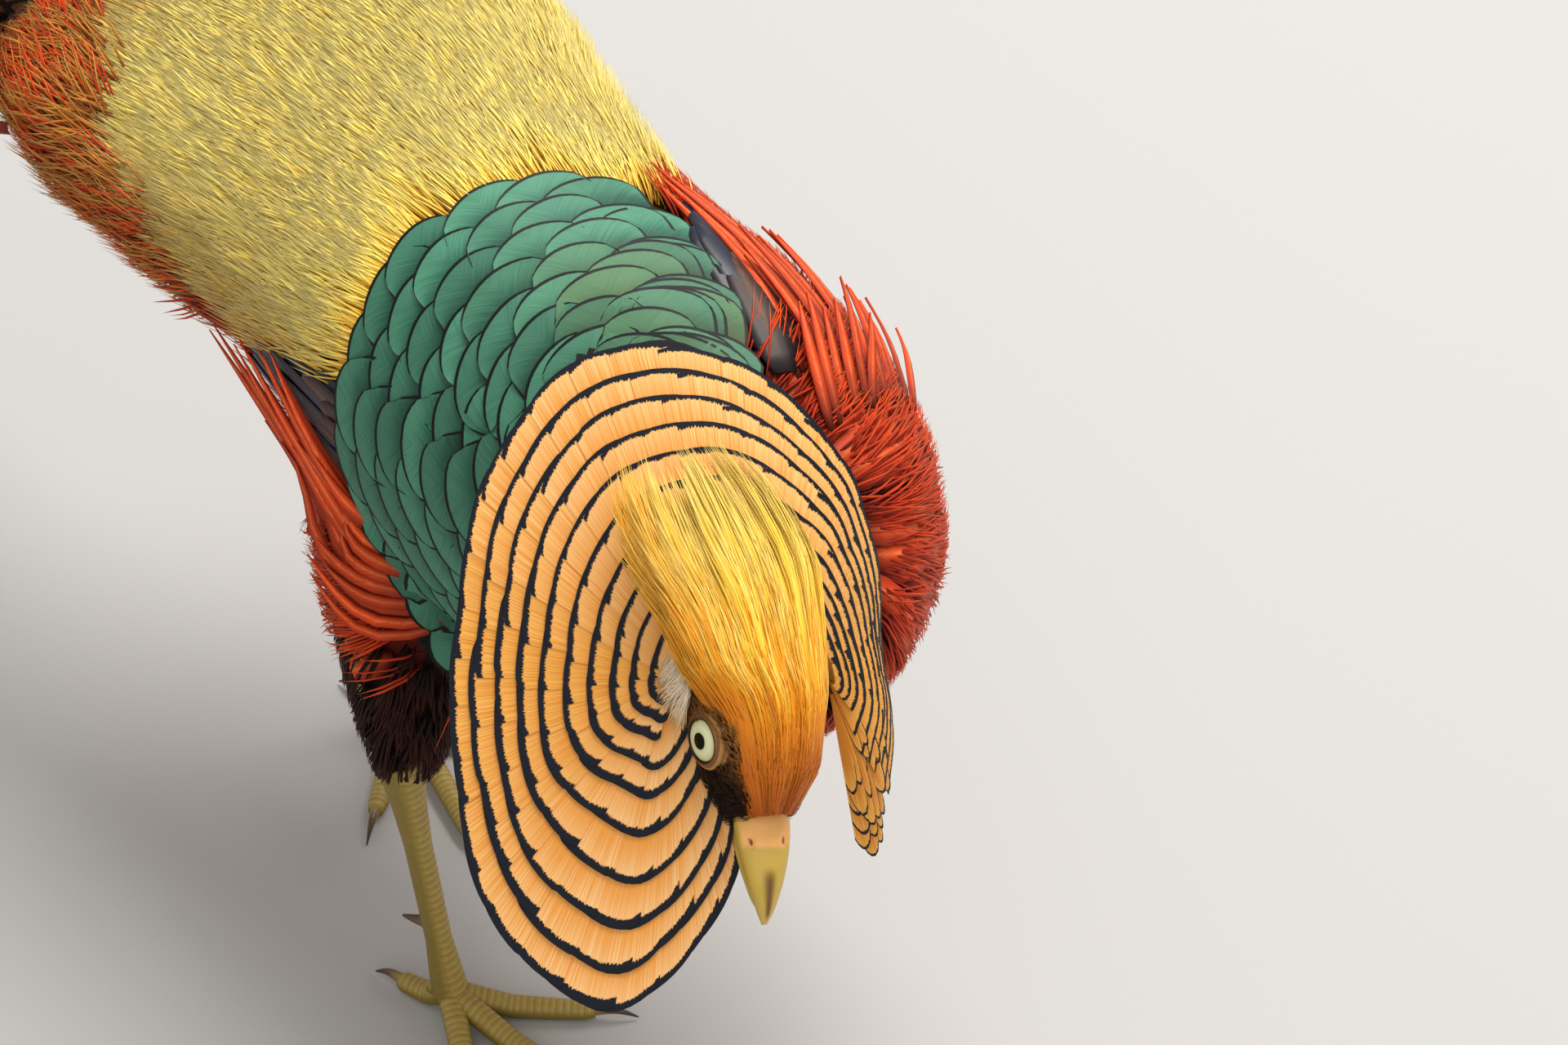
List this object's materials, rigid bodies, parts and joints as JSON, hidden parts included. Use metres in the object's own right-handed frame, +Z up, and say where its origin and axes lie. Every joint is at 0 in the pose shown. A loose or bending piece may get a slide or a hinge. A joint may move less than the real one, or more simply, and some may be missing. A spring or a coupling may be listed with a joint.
{
  "type": "golden pheasant",
  "caption": "Life-size golden pheasant cock in display: head lowered and turned to its right, barred cape fanned round the face, long tail held out behind.",
  "frame": {"origin": "middle of the whole bird's bounding box in plan, on the floor that it stands on", "axes": "+Y runs from the breast to the tail, +X is the bird's left, +Z is up"},
  "size_m": [0.2408, 0.9608, 0.2364],
  "materials": {
    "scarlet": "soft feathers",
    "cape": "smooth feathers",
    "face": "fine short feathers",
    "iris": "wet gloss",
    "horn": "satin horn",
    "gold": "silky feathers",
    "wing": "smooth feathers",
    "tail": "smooth feathers",
    "thigh": "soft feathers",
    "leg": "satin scales"
  },
  "bodies": {
    "root": {"torso": "scarlet", "neck": "cape", "head": "face", "eye_right": "iris", "eye_left": "iris", "bill_upper": "horn", "bill_lower": "horn", "crest": "gold", "cape_right": "cape", "cape_left": "cape", "wing_right": "wing", "wing_left": "wing", "tail": "tail", "upper_coverts": "scarlet", "thigh_right": "thigh", "thigh_left": "thigh", "leg_right": "leg", "leg_left": "leg"}
  },
  "joints": []
}
